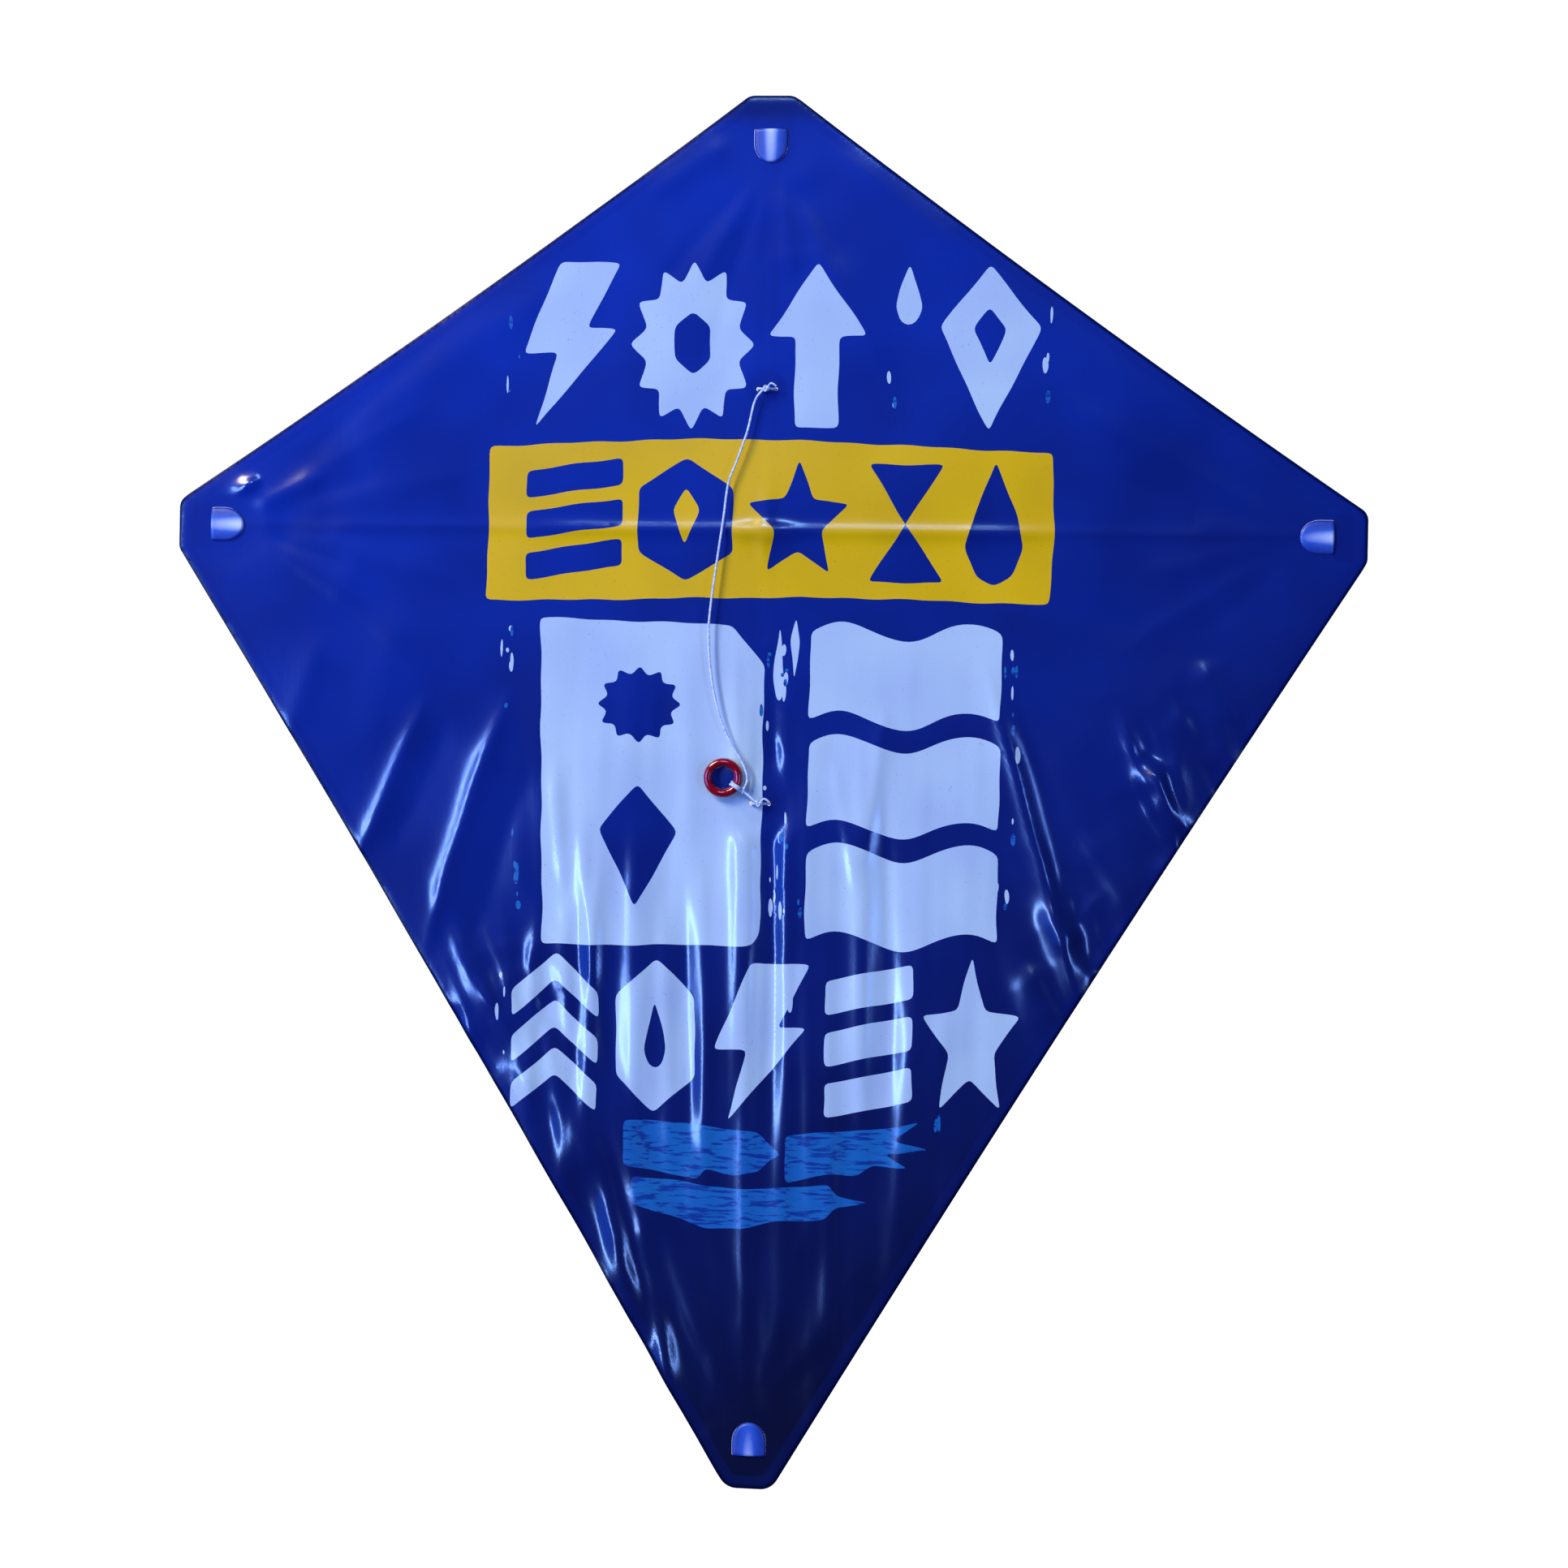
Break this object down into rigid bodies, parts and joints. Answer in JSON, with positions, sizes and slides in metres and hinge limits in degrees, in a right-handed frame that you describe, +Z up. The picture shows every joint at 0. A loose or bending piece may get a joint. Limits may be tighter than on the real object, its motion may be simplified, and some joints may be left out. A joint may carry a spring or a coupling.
{
  "type": "diamond kite",
  "caption": "Diamond kite: a glossy film sail stretched over a spine and a cross spar, with a two-leg bridle and a tow ring that swing at the front.",
  "frame": {"origin": "middle of the centre connector's flat back, where the spine and the cross spar cross", "axes": "+Z up along the spine to the nose, +X along the cross spar to the viewer's right, and the printed front faces -Y"},
  "size_m": [0.6, 0.0172, 0.7],
  "materials": {
    "film": "glossy printed polyethylene film, creased",
    "fibreglass": "pultruded fibreglass, satin",
    "milky_plastic": "moulded milky polypropylene, satin",
    "line": "braided polyester line",
    "red_plastic": "glossy moulded plastic"
  },
  "bodies": {
    "kite": {"sail": "film", "spine": "fibreglass", "cross_spar": "fibreglass", "centre_connector": "milky_plastic", "nose_cap": "milky_plastic", "tail_cap": "milky_plastic", "left_cap": "milky_plastic", "right_cap": "milky_plastic", "nose_pocket": "film", "tail_pocket": "film", "left_pocket": "film", "right_pocket": "film", "upper_tie": "line", "lower_tie": "line", "upper_tie_patch": "film", "lower_tie_patch": "film"},
    "bridle": {"bridle_upper_leg": "line", "bridle_lower_leg": "line"},
    "ring": {"ring_hitch": "line", "tow_ring": "red_plastic"}
  },
  "joints": [
    {"name": "bridle_swing", "type": "hinge", "parent": "kite", "child": "bridle", "pos_m": [0, -0.0136, 0], "axis": [0, 0, 1], "range_deg": [0, 170]},
    {"name": "ring_swing", "type": "hinge", "parent": "bridle", "child": "ring", "pos_m": [-0.00839, -0.0136, -0.13055], "axis": [0, -1, 0], "range_deg": [0, 80]}
  ]
}
